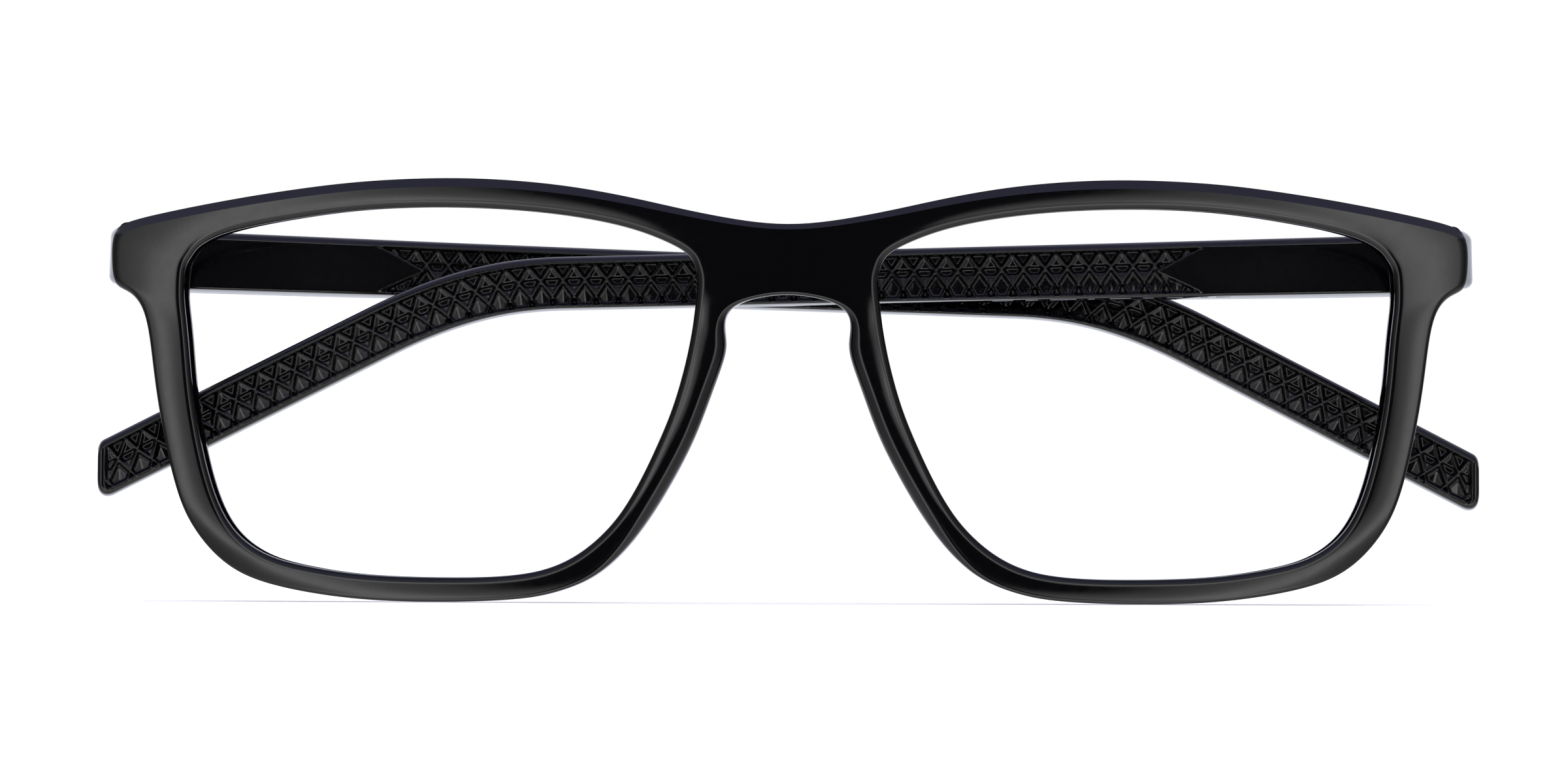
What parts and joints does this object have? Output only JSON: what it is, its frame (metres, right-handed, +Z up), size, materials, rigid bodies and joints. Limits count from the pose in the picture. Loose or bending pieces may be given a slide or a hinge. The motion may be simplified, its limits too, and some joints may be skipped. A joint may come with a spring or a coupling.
{
  "type": "eyeglasses",
  "caption": "Full-rim rectangular eyeglasses with a moulded keyhole front, clear lenses and folding spring-hinged temples whose inner faces carry a rib lattice.",
  "frame": {"origin": "bottom centre of the bounding box with the temples folded, on the surface that the lower rims stand on", "axes": "+X towards the wearer's left (the object's longest extent), +Y backwards from the front towards the wearer (shortest extent), +Z up"},
  "size_m": [0.1478, 0.0234, 0.0445],
  "materials": {
    "frame_plastic": "glossy black moulded plastic",
    "lens": "clear, polished",
    "hinge_steel": "satin steel",
    "screw_steel": "polished steel",
    "spring_steel": "drawn spring wire",
    "bush_brass": "turned brass"
  },
  "bodies": {
    "front": {"front_frame": "frame_plastic", "lens_left": "lens", "lens_right": "lens", "front_hinge_left": "hinge_steel", "front_hinge_right": "hinge_steel", "hinge_screw_left": "screw_steel", "hinge_screw_right": "screw_steel"},
    "plunger_left": {"spring_plunger_left": "hinge_steel", "plunger_nut_left": "hinge_steel"},
    "temple_left": {"temple_left": "frame_plastic", "spring_housing_left": "hinge_steel", "guide_bush_left": "bush_brass", "coil_spring_left": "spring_steel"},
    "plunger_right": {"spring_plunger_right": "hinge_steel", "plunger_nut_right": "hinge_steel"},
    "temple_right": {"temple_right": "frame_plastic", "spring_housing_right": "hinge_steel", "guide_bush_right": "bush_brass", "coil_spring_right": "spring_steel"}
  },
  "joints": [
    {"name": "fold_left", "type": "hinge", "parent": "front", "child": "plunger_left", "pos_m": [0.0662, 0.0039, 0.036], "axis": [0.0295, -0.1166, -0.9927], "range_deg": [0, 91.9]},
    {"name": "flex_left", "type": "slide", "parent": "plunger_left", "child": "temple_left", "axis": [-0.9991, -0.0329, -0.0258], "range_m": [0, 0.001], "stiffness_N_per_m": 2000, "springref_m": -0.0005, "deforming": ["coil_spring_left"]},
    {"name": "fold_right", "type": "hinge", "parent": "front", "child": "plunger_right", "pos_m": [-0.0662, 0.0039, 0.036], "axis": [0.0295, 0.1166, 0.9927], "range_deg": [0, 88.2]},
    {"name": "flex_right", "type": "slide", "parent": "plunger_right", "child": "temple_right", "axis": [0.999, 0.0312, -0.0333], "range_m": [0, 0.001], "stiffness_N_per_m": 2000, "springref_m": -0.0005, "deforming": ["coil_spring_right"]}
  ]
}
